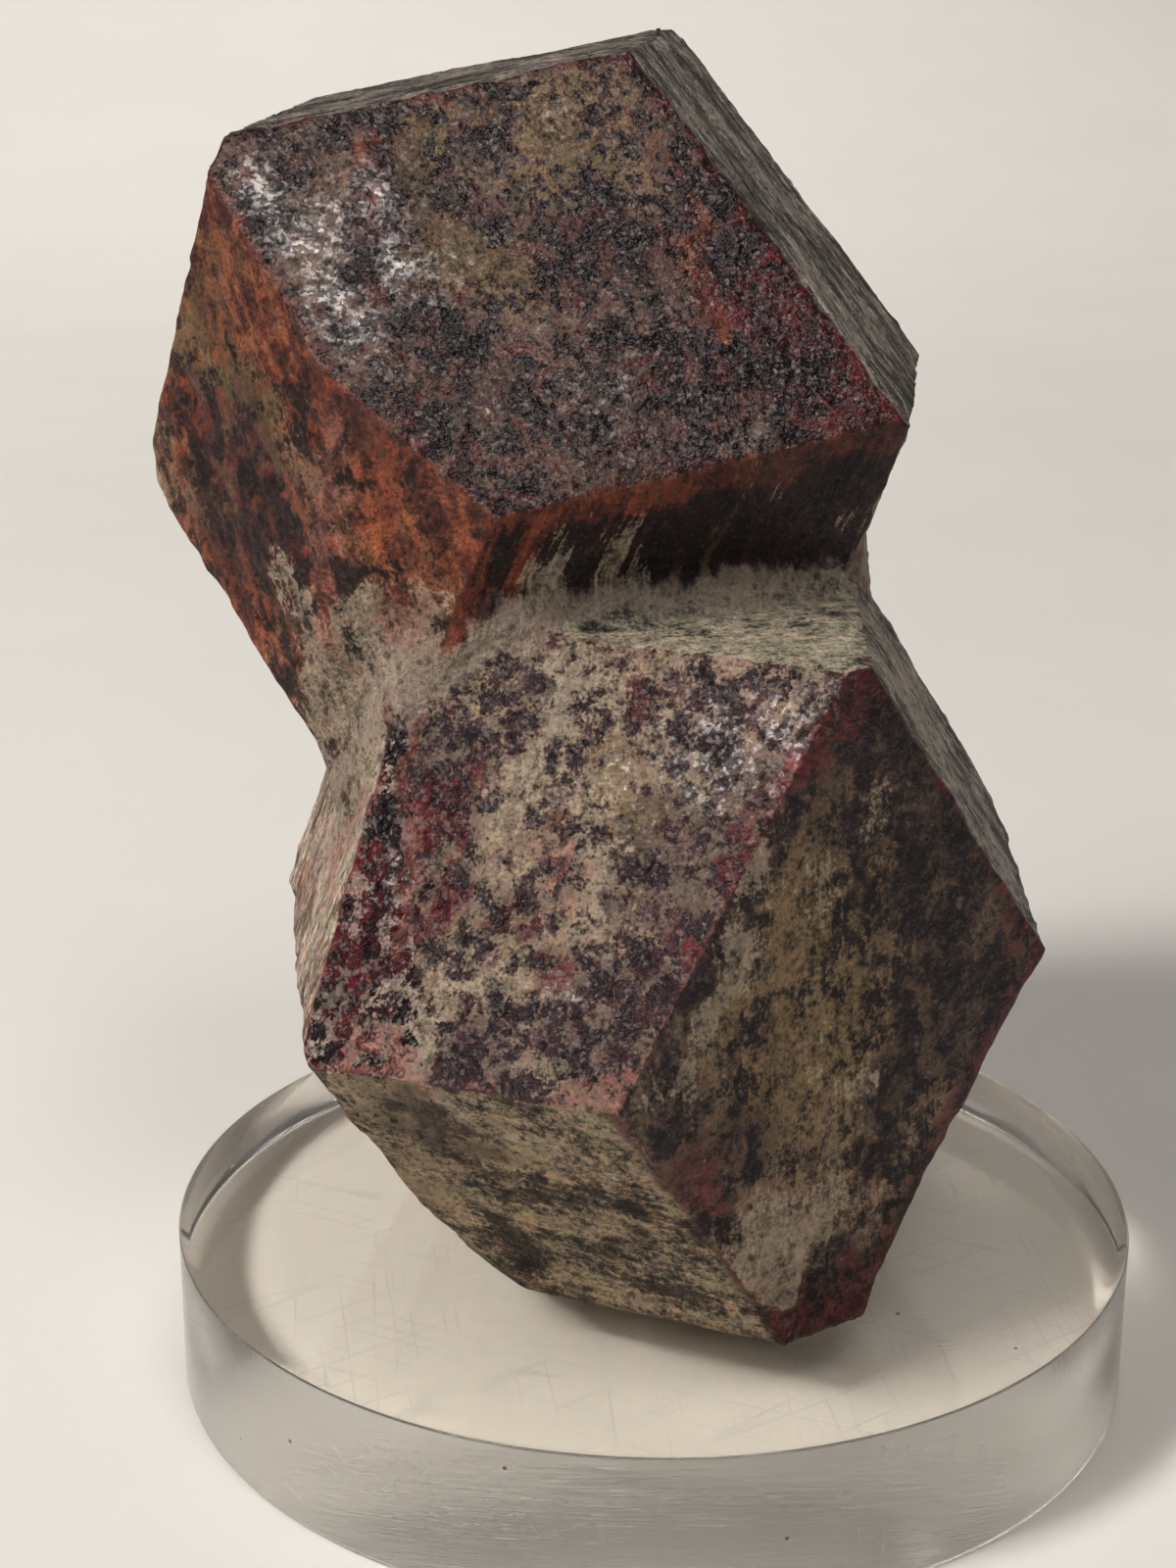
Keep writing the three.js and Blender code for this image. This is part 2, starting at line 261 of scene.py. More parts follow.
class Value:
    """A socket whose arithmetic adds Math nodes to its material."""

    def __init__(self, shade, socket, source=None):
        self.shade = shade
        self.socket = socket
        self.source = source or socket.node

    def _maths(self, operation, *terms):
        return self.shade.node("ShaderNodeMath", {"operation": operation}, dict(enumerate(terms)))

    def __add__(self, other):
        return self._maths("ADD", self, other)

    def __sub__(self, other):
        return self._maths("SUBTRACT", self, other)

    def __rsub__(self, other):
        return self._maths("SUBTRACT", other, self)

    def __mul__(self, other):
        return self._maths("MULTIPLY", self, other)

    __radd__ = __add__
    __rmul__ = __mul__

    def most(self, other):
        return self._maths("MAXIMUM", self, other)

    def ramp(self, low, high):
        """0 below low, 1 above high, and smooth between."""
        return self.shade.node("ShaderNodeMapRange", {"interpolation_type": "SMOOTHSTEP"},
                               {"Value": self, "From Min": low, "From Max": high})

    def twin(self, name):
        """Another output of the node behind this value."""
        return Value(self.shade, self.source.outputs[name])


class Shade:
    """A material's node tree, and the few ways this script adds to it."""

    def __init__(self, name):
        self.material = bpy.data.materials.new(name)
        self.material.use_nodes = True
        self.tree = self.material.node_tree
        self.tree.nodes.clear()

    def node(self, kind, settings=None, inputs=None, output=0):
        """A new node: its settings first, then what its sockets hold or are linked to."""
        made = self.tree.nodes.new(kind)
        for name, value in (settings or {}).items():
            setattr(made, name, value)
        for key, value in (inputs or {}).items():
            if isinstance(value, Value):
                self.tree.links.new(value.socket, made.inputs[key])
            else:
                made.inputs[key].default_value = value
        return Value(self, made.outputs[output]) if made.outputs else None

    def field(self, name):
        """A number that the mesh carries."""
        return self.node("ShaderNodeAttribute", {"attribute_name": name}, output="Fac")

    def tint(self, name):
        """A colour that the mesh carries."""
        return self.node("ShaderNodeAttribute", {"attribute_name": name}, output="Color")

    def millimetres(self):
        place = self.node("ShaderNodeTexCoord", output="Object")
        return self.node("ShaderNodeVectorMath", {"operation": "SCALE"}, {0: place, "Scale": 1 / MM})

    def vector(self, operation, *terms, output="Vector"):
        """Vector Math on places and colours."""
        return self.node("ShaderNodeVectorMath", {"operation": operation}, dict(enumerate(terms)), output)

    def moved(self, place, shift):
        return self.vector("ADD", place, (shift, shift, shift))

    def noise(self, place, size, detail=2.0, rough=0.5, twist=0.0):
        """Soft noise round 0, mostly within a half of it, whose lumps are about size across."""
        lumps = self.node("ShaderNodeTexNoise", None, {
            "Vector": place,
            "Scale": 1 / size,
            "Detail": detail,
            "Roughness": rough,
            "Distortion": twist,
        })
        return Value(self, (lumps * 2 - 1).socket, lumps.source)

    def cells(self, place, size, output="Distance"):
        """Cells about size across, each round a point of its own."""
        return self.node("ShaderNodeTexVoronoi", {"feature": "F1"},
                         {"Vector": place, "Scale": 1 / size}, output)

    def channel(self, colour, name):
        """One channel of a colour, as a number."""
        return self.node("ShaderNodeSeparateColor", None, {"Color": colour}, name)

    def mix(self, share, first, second, blend="MIX"):
        """One colour into another."""
        return self.node("ShaderNodeMix", {"data_type": "RGBA", "blend_type": blend},
                         {0: share, 6: first, 7: second}, output=2)

    def brighten(self, colour, factor):
        """A colour, linked or plain, times a number."""
        colour = colour if isinstance(colour, Value) else colour[:3]
        return self.node("ShaderNodeVectorMath", {"operation": "SCALE"}, {0: colour, "Scale": factor})

    def finish(self, shader):
        self.node("ShaderNodeOutputMaterial", None, {"Surface": shader})
        return self.material


# ---------------------------------------------------------------------------------------------------
# Modelling helpers
# ---------------------------------------------------------------------------------------------------


def select_only(piece):
    bpy.ops.object.select_all(action="DESELECT")
    piece.select_set(True)
    bpy.context.view_layer.objects.active = piece


def select_edges(piece, wanted):
    """In edit mode, selects the edges that the test wants and nothing else."""
    bpy.ops.mesh.select_mode(type="EDGE")
    bpy.ops.mesh.select_all(action="DESELECT")
    shape = bmesh.from_edit_mesh(piece.data)
    for edge in shape.edges:
        edge.select_set(wanted(edge))
    bmesh.update_edit_mesh(piece.data)


def finished(piece, material, node):
    """The piece takes its material and stands for its node."""
    piece.data.materials.clear()
    piece.data.materials.append(material)
    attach(piece, BODY)
    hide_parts(node)


def places_of(mesh):
    """The places of a mesh's points, in millimetres."""
    places = np.empty(len(mesh.vertices) * 3, np.float32)
    mesh.vertices.foreach_get("co", places)
    return places.reshape(-1, 3).astype(float) / MM


def write_field(mesh, name, values):
    made = mesh.attributes.new(name, "FLOAT", "POINT")
    made.data.foreach_set("value", np.ascontiguousarray(values, np.float32))


def write_tint(mesh, name, colours):
    made = mesh.attributes.new(name, "FLOAT_COLOR", "POINT")
    made.data.foreach_set("color", np.ascontiguousarray(colours, np.float32).ravel())


def write_weights(piece, name, values, levels=24):
    """A vertex group whose weights are the values, in steps."""
    group = piece.vertex_groups.new(name=name)
    steps = np.rint(np.clip(values, 0, 1) * levels).astype(int)
    for step in range(1, levels + 1):
        members = np.nonzero(steps == step)[0]
        if len(members):
            group.add(members.tolist(), step / levels, "REPLACE")


def clouds(name, size, depth=2, basis="BLENDER_ORIGINAL", hard=False, contrast=1.0):
    """A relief pattern of soft or hard lumps, each about size across."""
    pattern = bpy.data.textures.new(name, "CLOUDS")
    pattern.noise_scale = size
    pattern.noise_depth = depth
    pattern.noise_basis = basis
    pattern.noise_type = "HARD_NOISE" if hard else "SOFT_NOISE"
    pattern.contrast = contrast
    return pattern


def carve(piece, pattern, depth, group, along="LOCAL"):
    """Sinks the piece's surface by up to depth, by the pattern, where the group has weight."""
    bpy.ops.object.modifier_add(type="DISPLACE")
    modifier = piece.modifiers[-1]
    modifier.texture = pattern
    modifier.texture_coords = along
    if along == "UV":
        modifier.uv_layer = GRAIN_MAP
    modifier.strength = depth
    modifier.mid_level = 1.0
    modifier.vertex_group = group
    bpy.ops.object.modifier_apply(modifier=modifier.name)


# ---------------------------------------------------------------------------------------------------
# The stone
# ---------------------------------------------------------------------------------------------------

GRAIN_MAP = "grain"
GRAIN_STRETCH = 6.0  # growth lines are about this many times as long as they are wide
SOFT_RIDGE = 15.0  # faces that meet at less than this angle, in degrees, have no edge between them
FACET_MATCH = 4.0  # a named face looks within this angle of where its facet does, in degrees
PATCH_SPREAD = 0.85  # a patch spreads to faces whose outward directions agree this well with its own
EDGE_LIMIT = 10.0  # distances from an edge are kept up to this, in millimetres
WANDER_SEED = 5  # the noise is seeded, so that each run draws the same outlines
EDGE_BAND = 1.6  # edges are chipped and worn to this far from them, in millimetres
PIT_BAND = 1.2  # pits are shallower nearer an edge than this, in millimetres
FOOT_CALM = 3.0  # the relief dies away over this height above the foot, in millimetres
FOOT_SLICE = 0.1 * MM  # the foot's points are within this of the stone's lowest place
FOOT_DROP = 0.95  # share of the gap above the disc that the foot is drawn down by
FACE_SPREAD = 40.0  # on the grain map, millimetres from one face's part to the next one's
BROAD_BEND = 6.0  # lumps of the wandering that bends outlines, in millimetres
SMALL_BEND = 2.0


def heading_vector(heading, rise):
    heading, rise = math.radians(heading), math.radians(rise)
    flat = math.cos(rise)
    return np.array([flat * math.cos(heading), flat * math.sin(heading), math.sin(rise)])


class Faces:
    """The stone's named faces, as planes in millimetres, read from its flat-faced solid."""

    def __init__(self, mesh):
        normals = np.array([tuple(polygon.normal) for polygon in mesh.polygons])
        centres = np.array([tuple(polygon.center) for polygon in mesh.polygons]) / MM
        areas = np.array([polygon.area for polygon in mesh.polygons])
        self.names = list(FACETS)
        self.normals = np.empty((len(FACETS), 3))
        self.distances = np.empty(len(FACETS))
        for i, name in enumerate(self.names):
            heading, rise, _habit, _grain = FACETS[name]
            facing = normals @ heading_vector(heading, rise)
            close = np.nonzero(facing > math.cos(math.radians(FACET_MATCH)))[0]
            if not len(close):
                raise RuntimeError(f"the solid has no face where {name} should be")
            widest = close[np.argmax(areas[close])]
            self.normals[i] = normals[widest]
            self.distances[i] = normals[widest] @ centres[widest]
        grains = np.array([FACETS[name][3] for name in self.names], float)
        grains -= (grains * self.normals).sum(1, keepdims=True) * self.normals
        self.grains = grains / np.linalg.norm(grains, axis=1, keepdims=True)
        self.crystal = np.array([CRYSTALS.index(name.split("_")[0]) for name in self.names])

    def survey(self, places):
        """For each place: its face, how far its nearest edge is, and how far the other crystal is."""
        depth = places @ self.normals.T - self.distances
        outside = np.stack([depth[:, self.crystal == c].max(1) for c in range(len(CRYSTALS))], 1)
        owner = np.abs(outside).argmin(1)
        own = np.where(self.crystal[None, :] == owner[:, None], depth, -np.inf)
        face = own.argmax(1)
        sines = np.sqrt(np.clip(1 - (self.normals @ self.normals.T) ** 2, 0, 1))
        reach = -own / np.maximum(sines[face], 1e-6)
        reach[sines[face] < math.sin(math.radians(SOFT_RIDGE))] = np.inf
        other = outside[np.arange(len(places)), 1 - owner]
        return face, np.clip(reach.min(1), 0, EDGE_LIMIT), np.maximum(other, 0), reach

    def onto(self, index, places):
        """Places moved straight onto a face's plane."""
        depth = places @ self.normals[index] - self.distances[index]
        return places - depth[:, None] * self.normals[index]


def rough_stone(settings):
    """The solid with worn edges, as an even mesh, and its named faces."""
    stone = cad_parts[STONE_NODE].copy()
    stone.data = stone.data.copy()
    stone.name = "garnet_stone"
    stone.parent = None
    bpy.context.scene.collection.objects.link(stone)
    select_only(stone)
    bpy.ops.object.mode_set(mode="EDIT")
    bpy.ops.mesh.select_all(action="SELECT")
    bpy.ops.mesh.remove_doubles(threshold=0.002 * MM)
    bpy.ops.mesh.dissolve_limited(angle_limit=math.radians(0.5))
    bpy.ops.object.mode_set(mode="OBJECT")
    faces = Faces(stone.data)

    ridge = math.radians(SOFT_RIDGE)
    bpy.ops.object.mode_set(mode="EDIT")
    select_edges(stone, lambda edge: edge.is_convex and edge.calc_face_angle(0) > ridge)
    bpy.ops.mesh.bevel(offset=settings.edge_wear, segments=2, profile=0.5, affect="EDGES")
    bpy.ops.object.mode_set(mode="OBJECT")

    stone.data.remesh_voxel_size = settings.mesh_size
    bpy.ops.object.voxel_remesh()
    return stone, faces


def round_notch(stone, faces, settings):
    """Smooths the stone where the two crystals meet."""
    _face, _edge, other, _reach = faces.survey(places_of(stone.data))
    near = other < settings.crust_reach / MM
    bpy.ops.object.mode_set(mode="EDIT")
    bpy.ops.mesh.select_mode(type="VERT")
    bpy.ops.mesh.select_all(action="DESELECT")
    bpy.ops.object.mode_set(mode="OBJECT")
    stone.data.vertices.foreach_set("select", near)
    bpy.ops.object.mode_set(mode="EDIT")
    bpy.ops.mesh.vertices_smooth(factor=0.5, repeat=settings.notch_rounding)
    bpy.ops.object.mode_set(mode="OBJECT")


def seat_on_disc(settings):
    """Draws the stone's foot down onto the disc."""
    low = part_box(STONE_NODE)[0].z
    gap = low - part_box(DISC_NODE)[1].z
    bpy.ops.object.mode_set(mode="EDIT")
    bpy.ops.mesh.select_all(action="DESELECT")
    shape = bmesh.from_edit_mesh(bpy.context.active_object.data)
    for vert in shape.verts:
        vert.select_set(vert.co.z < low + FOOT_SLICE)
    bmesh.update_edit_mesh(bpy.context.active_object.data)
    bpy.ops.transform.translate(
        value=(0, 0, -FOOT_DROP * gap), use_proportional_edit=True, proportional_edit_falloff="SMOOTH",
        proportional_size=settings.foot_reach)
    bpy.ops.object.mode_set(mode="OBJECT")


def write_grain_map(mesh, faces):
    """A UV map in millimetres, face by face: along the growth lines, shortened, and across them."""
    centres = np.empty(len(mesh.polygons) * 3, np.float32)
    mesh.polygons.foreach_get("center", centres)
    face = faces.survey(centres.reshape(-1, 3).astype(float) / MM)[0]
    along = faces.grains
    across = np.cross(faces.normals, along)
    corners = np.empty(len(mesh.loops), np.int32)
    mesh.loops.foreach_get("vertex_index", corners)
    sides = np.empty(len(mesh.polygons), np.int32)
    mesh.polygons.foreach_get("loop_total", sides)
    corner_face = np.repeat(face, sides)
    places = places_of(mesh)[corners]
    spread = FACE_SPREAD * corner_face
    grain = np.stack([(places * along[corner_face]).sum(1) / GRAIN_STRETCH + spread,
                      (places * across[corner_face]).sum(1)], 1)
    layer = mesh.uv_layers.new(name=GRAIN_MAP)
    layer.data.foreach_set("uv", grain.astype(np.float32).ravel())


def wander(places, settings):
    """Each place moved a few millimetres, so that what is drawn from it has an uneven outline."""
    noise.seed_set(WANDER_SEED)
    moved = np.empty_like(places)
    for i, place in enumerate(places.tolist()):
        spot = Vector(place)
        broad = noise.noise_vector(spot / BROAD_BEND)
        small = noise.noise_vector(spot / SMALL_BEND + Vector((9.0, 4.0, 7.0)))
        moved[i] = spot + settings.wander / MM * (broad + 0.45 * small)
    return moved


def from_stretch(places, start, end):
    """How far each place is from the straight stretch between two points."""
    start, along = np.array(start, float), np.subtract(end, start)
    share = np.clip((places - start) @ along / (along @ along), 0, 1)
    return np.linalg.norm(places - start - share[:, None] * along, axis=1)


def mineral_fields(faces, face, reach, places):
    """How strongly each mineral shows at each place, from its patches, seams and rims."""
    fields = {}
    for mineral, patches in PATCHES.items():
        field = np.zeros(len(places))
        homes = faces.survey(np.array([patch[0] for patch in patches], float))[0]
        for home, (centre, radius, strength) in zip(homes, patches):
            alike = faces.normals[face] @ faces.normals[home] > PATCH_SPREAD
            apart = places - np.array(centre)
            along = apart @ faces.grains[home] * (1 - 0.5 * HABITS[FACETS[faces.names[home]][2]]["lined"])
            away = np.sqrt((apart ** 2).sum(1) - (apart @ faces.grains[home]) ** 2 + along ** 2)
            field = np.maximum(field, np.clip(1 - away / (2 * radius), 0, 1) * strength * alike)
        fields[mineral] = field
    for name, mineral, run, radius, strength in SEAMS:
        home = faces.names.index(name)
        alike = faces.normals[face] @ faces.normals[home] > PATCH_SPREAD
        flat = faces.onto(home, places)
        ends = faces.onto(home, np.array(run, float))
        away = np.min([from_stretch(flat, a, b) for a, b in zip(ends, ends[1:])], axis=0)
        seam = np.clip(1 - away / (2 * radius), 0, 1) * strength * alike
        fields[mineral] = np.maximum(fields[mineral], seam)
    for name, beside, mineral, width, strength in RIMS:
        here = face == faces.names.index(name)
        near = 1 - reach[:, faces.names.index(beside)] / (2 * width)
        rim = np.where(here, np.clip(near, 0, 1) * strength, 0)
        fields[mineral] = np.maximum(fields[mineral], rim)
    return fields


def chart_stone(stone, faces, settings):
    """Writes what the relief and the material need to know about each place on the stone."""
    mesh = stone.data
    places = places_of(mesh)
    face, edge, other, reach = faces.survey(places)
    habits = [HABITS[FACETS[name][2]] for name in faces.names]

    def of_habit(key):
        return np.array([habit[key] for habit in habits])[face]

    for key in ("cover", "coarse", "grainy", "lined", "gloss"):
        write_field(mesh, key, of_habit(key))
    for key in ("garnet", "coat", "third"):
        write_tint(mesh, key + "_tint", np.array([srgb(*habit[key]) for habit in habits])[face])
    write_field(mesh, "edge", edge)
    crust = np.clip(1 - other / (2 * settings.crust_reach / MM), 0, 1)
    write_field(mesh, "crust", crust)
    for mineral, field in mineral_fields(faces, face, reach, wander(places, settings)).items():
        write_field(mesh, mineral, field)

    foot = np.clip((places[:, 2] - places[:, 2].min()) / FOOT_CALM, 0, 1)
    write_weights(stone, "all_over", foot)
    write_weights(stone, "pits", of_habit("pits") * foot * np.clip(edge / PIT_BAND, 0.35, 1))
    write_weights(stone, "lines", of_habit("ridges") * foot)
    write_weights(stone, "edges", np.clip(1 - edge / EDGE_BAND, 0, 1) * foot * (crust < 0.6))
    write_weights(stone, "crust", np.clip(crust * 1.5 - 0.4, 0, 1))


def carve_relief(stone, settings):
    """The stone's real relief: uneven growth, pits, growth lines, worn edges and crust."""
    deep = settings.pit_depth
    carve(stone, clouds("uneven growth", 9 * MM, 1), 0.9 * deep, "all_over")
    carve(stone, clouds("lumps", 3.2 * MM, 2), 0.7 * deep, "pits")
    carve(stone, clouds("pits", 1.3 * MM, 2, "VORONOI_F1", contrast=1.4), 1.3 * deep, "pits")
    carve(stone, clouds("growth lines", 1.4, 2), 0.9 * deep, "lines", along="UV")
    carve(stone, clouds("broad steps", 5.0, 1, hard=True), 0.6 * deep, "lines", along="UV")
    carve(stone, clouds("edge chips", 2.4 * MM, 2, contrast=1.6), 1.6 * deep, "edges")
    carve(stone, clouds("crust", 1.1 * MM, 2), 0.8 * deep, "crust")
    bpy.ops.object.mode_set(mode="EDIT")
    bpy.ops.mesh.select_all(action="DESELECT")
    stone.vertex_groups.active_index = stone.vertex_groups["edges"].index
    bpy.ops.object.vertex_group_select()
    bpy.ops.mesh.vertices_smooth(factor=0.5, repeat=2)
    bpy.ops.object.mode_set(mode="OBJECT")


def mica_flakes(shade, place):
    """Small flakes that each lean their own way: their height, which of them are glossy and which mica."""
    cells = shade.cells(place, 0.3, "Color")
    lean = shade.vector("SUBTRACT", cells, (0.5, 0.5, 0.5))
    within = shade.vector("SUBTRACT", place, cells.twin("Position"))
    tilt = shade.vector("DOT_PRODUCT", lean, within, output="Value")
    return tilt, shade.channel(cells, "Red").ramp(0.55, 0.8), shade.channel(cells, "Blue").ramp(0.78, 0.9)


def stone_material(settings):
    """Garnet under a patchy coat of chlorite and mica, with rust, gold, rose, ruby and pale patches; the
    rust along the upper crystal's front edges is partly a painted red glow, and the rose rim on its
    front-left edge a painted highlight.
    """
    shade = Shade("garnet under chlorite")
    place = shade.millimetres()
    grain = shade.node("ShaderNodeUVMap", {"uv_map": GRAIN_MAP})

    fine = shade.noise(place, 0.28, detail=1.0, rough=0.65)
    small = shade.noise(shade.moved(place, 31.0), 0.75, detail=2.0, rough=0.65)
    medium = shade.noise(shade.moved(place, 57.0), 2.2, detail=3.0, rough=0.65, twist=0.6)
    broad = shade.noise(shade.moved(place, 83.0), 7.0, detail=2.0, rough=0.6)
    line = shade.noise(grain, 0.6, detail=2.0, rough=0.65)
    broad_line = shade.noise(shade.moved(grain, 17.0), 2.4, detail=2.0, rough=0.6)

    coarse = shade.field("coarse")
    lined = shade.field("lined")
    grainy = shade.field("grainy")
    gloss = shade.field("gloss")
    worn = 1 - (shade.field("edge") + small * 0.8).ramp(0.1, 1.1)

    speckle = small + (medium - small) * coarse
    streak = line * 0.5 + broad_line * 0.6
    texture = speckle + (streak - speckle) * lined
    uneven = texture * 1.5 + broad * 0.8 + fine * 0.25

    bent = shade.vector("MULTIPLY_ADD", medium.twin("Color"), (1.3, 1.3, 1.3), place)
    kernels = shade.cells(bent, 1.7)
    chance = shade.channel(kernels.twin("Color"), "Red")
    kernel = 1 - (kernels + (chance - 0.5) * 0.3 + fine * 0.2).ramp(0.34, 0.56)
    thread = (kernels + fine * 0.3).ramp(0.5, 0.7) * grainy
    speck = 1 - (shade.cells(place, 1.3) + small * 0.25).ramp(0.14, 0.3)

    bias = (shade.field("pale") - shade.field("dark") * 1.2) * 0.25
    covered = shade.field("cover") + bias + uneven - kernel * grainy * 0.35 + thread * 0.3 - worn * 0.1
    coat = covered.ramp(0.27, 0.73)
    third = (broad_line * lined * 0.8 + medium * 0.9 + (chance - 0.5) * grainy + 0.42).ramp(0.36, 0.64)

    garnet_light = (medium * 1.3 + small * 0.9 + broad * 0.9 + fine * 0.8 + 1.0).most(0.3)
    bare = shade.mix(third * 0.8, shade.tint("garnet_tint"), shade.tint("third_tint"))
    garnet = shade.brighten(bare, garnet_light)
    coat_light = (small * 1.1 + medium + fine * 1.1 + line * lined * 1.4 + broad * 0.9 + 1.0).most(0.3)
    coating = shade.brighten(shade.tint("coat_tint"), coat_light)
    drift = shade.vector("MULTIPLY_ADD", medium.twin("Color"), (0.5, 0.5, 0.5), (0.75, 0.75, 0.75))
    colour = shade.mix(1.0, shade.mix(coat, garnet, coating), drift, blend="MULTIPLY")

    rust_and_glow_tone = (streak * 1.9 + small * 1.2 + fine + 1.0).most(0.2)
    ruby_light = (small * 1.6 + medium * 1.4 + chance * 1.2 + 0.3).most(0.12)

    def layer(under, name, paint, light, amount, ragged):
        """A mineral over what is under it, and how much of it shows."""
        mask = (shade.field(name) + uneven * ragged).ramp(0.41, 0.59) * amount
        return shade.mix(mask, under, shade.brighten(paint, light)), mask

    colour, gold = layer(colour, "gold", settings.gold_colour, coat_light, 0.6, 1.0)
    orange = (broad_line + medium).ramp(-0.35, 0.35)
    stain = shade.mix(orange, settings.stain_colour[:], settings.rust_and_glow_colour[:])
    # The rust layer is iron stain, and along the upper crystal's front edges also a painted red glow.
    colour, _rust_and_glow = layer(colour, "rust_and_glow", stain, rust_and_glow_tone, 0.7, 0.5)
    colour, dark = layer(colour, "dark", settings.dark_colour, garnet_light, 0.55, 0.9)
    colour, ruby = layer(colour, "ruby", settings.ruby_colour, ruby_light, 0.8 - thread * 0.6, 0.45)
    colour, pale = layer(colour, "pale", settings.pale_colour, coat_light, 0.65, 0.8)
    # The rose layer is pink edges and seams, and along the upper front face's left edge a painted
    # highlight.
    colour, _rose_and_highlight = layer(colour, "rose_and_highlight", settings.rose_and_highlight_colour, coat_light, 0.55, 0.7)
    crust = (shade.field("crust") + medium * 0.5 + broad * 0.3 + small * 0.15).ramp(0.36, 0.66) * 0.9
    crust_light = (streak * 1.1 + medium * 0.6 + fine * 0.6 + 1.0).most(0.35)
    colour = shade.mix(crust, colour, shade.brighten(settings.crust_colour, crust_light))
    colour = shade.mix(worn * 0.1, colour, settings.rose_and_highlight_colour[:])
    colour = shade.brighten(colour, 1 - speck * 0.5)

    soft = (coat * 0.6).most(pale).most(crust).most(gold)
    polish = (shade.field("polish") + uneven * 0.5).ramp(0.15, 0.85)
    shine = (gloss * (1 - soft * 0.6) + (ruby + dark) * 0.15).ramp(0.0, 1.0)
    roughness = 0.72 - shine * 0.36 + fine * 0.1

    tilt, flake, mica = mica_flakes(shade, bent)
    mica = mica * gloss * (polish * 0.5 + 0.32) * (1 - crust)
    colour = shade.mix(mica, colour, settings.mica_colour[:])
    ground = (fine * 0.07 + small * 0.2) * (1 - gloss * 0.4)
    height = tilt * 0.3 * gloss + ground + kernel * grainy * 0.15 + line * lined * 0.09
    bumps = shade.node("ShaderNodeBump", None, {"Strength": 1.0, "Distance": MM, "Height": height})

    shader = shade.node("ShaderNodeBsdfPrincipled", None, {
        "Base Color": colour,
        "Roughness": roughness,
        "Normal": bumps,
        "Metallic": mica,
        "IOR": 1.42,
        "Coat Weight": gloss * polish * (flake * 0.85 + 0.15),
        "Coat Roughness": 0.18,
        "Coat IOR": 1.6,
    })
    return shade.finish(shader)


# ---------------------------------------------------------------------------------------------------
# The disc
# ---------------------------------------------------------------------------------------------------

DISC_SIDES = 256
FLAT_INSET = 0.6 * MM  # a ring of faces inside each rim keeps the flats flat


def hairlines(shade, place, turn, apart):
    """Faint long scratches that all run one way, about so far apart."""
    turned = shade.node("ShaderNodeVectorRotate", {"rotation_type": "Z_AXIS"},
                        {"Vector": place, "Angle": math.radians(turn)})
    drawn = shade.vector("MULTIPLY", turned, (0.03, 1.0, 1.0))
    run = shade.noise(shade.moved(drawn, float(turn)), apart, detail=0.0)
    return 1 - (run * run).ramp(0.0, 0.0004)


def disc_radius():
    low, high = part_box(DISC_NODE)
    return (high.x - low.x) / 2


def disc_material(settings):
    """Clear cast acrylic with fine scratches, a few crumbs of stone and a hazy sawn wall."""
    shade = Shade("clear acrylic")
    place = shade.millimetres()
    faint = shade.noise(place, 14.0, detail=2.0)
    haze = faint * 0.03 + 0.045
    scratches = shade.noise(shade.vector("MULTIPLY", place, (0.08, 1.6, 1.0)), 0.5, detail=2.0)
    ripple = shade.noise(shade.moved(place, 9.0), 18.0, detail=1.0)
    height = scratches * 0.004 + ripple * 0.05
    bumps = shade.node("ShaderNodeBump", None, {"Strength": 1.0, "Distance": MM, "Height": height})
    clear = shade.node("ShaderNodeBsdfPrincipled", None, {
        "Base Color": settings.acrylic_colour[:],
        "Roughness": haze.most(0.01),
        "Normal": bumps,
        "IOR": 1.49,
        "Transmission Weight": 1.0,
    })
    hair = hairlines(shade, place, 24, 3.1).most(hairlines(shade, place, -38, 4.3))
    hair = hair.most(hairlines(shade, place, 81, 3.7))
    patchy = shade.noise(shade.moved(place, 44.0), 9.0, detail=2.0)
    crumbs = shade.cells(place, 4.5)
    kept = shade.channel(crumbs.twin("Color"), "Green").ramp(0.7, 0.75)
    crumb = (1 - (crumbs + faint * 0.03).ramp(0.03, 0.06)) * kept
    out = shade.vector("MULTIPLY", place, (1.0, 1.0, 0.0))
    edge = disc_radius() / MM
    wall = shade.vector("LENGTH", out, output="Value").ramp(edge - 0.12, edge - 0.04)
    paint = shade.mix(wall, settings.dust_colour[:], settings.wall_colour[:])
    dust = shade.node("ShaderNodeBsdfPrincipled", None, {
        "Base Color": shade.mix(crumb, paint, settings.crumb_colour[:]),
        "Roughness": 0.9,
    })
    share = (hair * patchy.ramp(-0.1, 0.4) * 0.09).most(crumb * 0.8) + wall * (0.15 + faint * 0.12)
    return shade.finish(shade.node("ShaderNodeMixShader", None, {0: share, 1: clear, 2: dust}))


